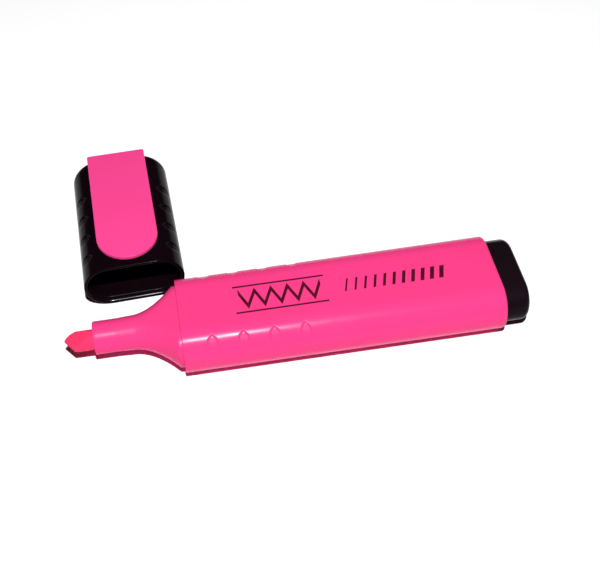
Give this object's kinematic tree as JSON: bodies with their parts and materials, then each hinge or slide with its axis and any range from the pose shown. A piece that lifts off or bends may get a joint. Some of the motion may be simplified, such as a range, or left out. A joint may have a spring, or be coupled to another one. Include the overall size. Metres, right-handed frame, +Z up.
{
  "type": "highlighter",
  "caption": "Flat highlighter pen with a chisel nib and a sealed tail, its clip cap off and lying behind the nib.",
  "frame": {"origin": "middle of the barrel's flat underside, on the surface that the pen lies on", "axes": "+X along the pen from nib to tail, +Z up from the surface, +Y across the pen towards the cap that lies behind it"},
  "size_m": [0.1178, 0.0726, 0.016],
  "materials": {
    "pink_plastic": "moulded, satin to gloss, fluorescent pink",
    "clip_plastic": "moulded, satin, fluorescent pink",
    "black_plastic": "moulded, glossy black",
    "liner_plastic": "moulded, soft matt black",
    "inked_fibre": "pressed fibre soaked with ink",
    "film": "thin translucent film"
  },
  "bodies": {
    "pen": {"barrel": "pink_plastic", "front_section": "pink_plastic", "nib": "inked_fibre", "reservoir_core": "inked_fibre", "reservoir_sleeve": "film", "tail_plug": "black_plastic"},
    "cap": {"cap_shell": "black_plastic", "cap_liner": "liner_plastic"},
    "clip": {"clip": "clip_plastic"}
  },
  "joints": [
    {"name": "cap_pull", "type": "slide", "parent": "pen", "child": "cap", "axis": [-0.0384, 0.9993, 0], "range_m": [0, 0.036]},
    {"name": "clip_flex", "type": "hinge", "parent": "cap", "child": "clip", "pos_m": [-0.05277, 0.05587, 0.013], "axis": [-0.9993, -0.0384, 0], "range_deg": [0, 6], "stiffness_Nm_per_rad": 2.4}
  ]
}
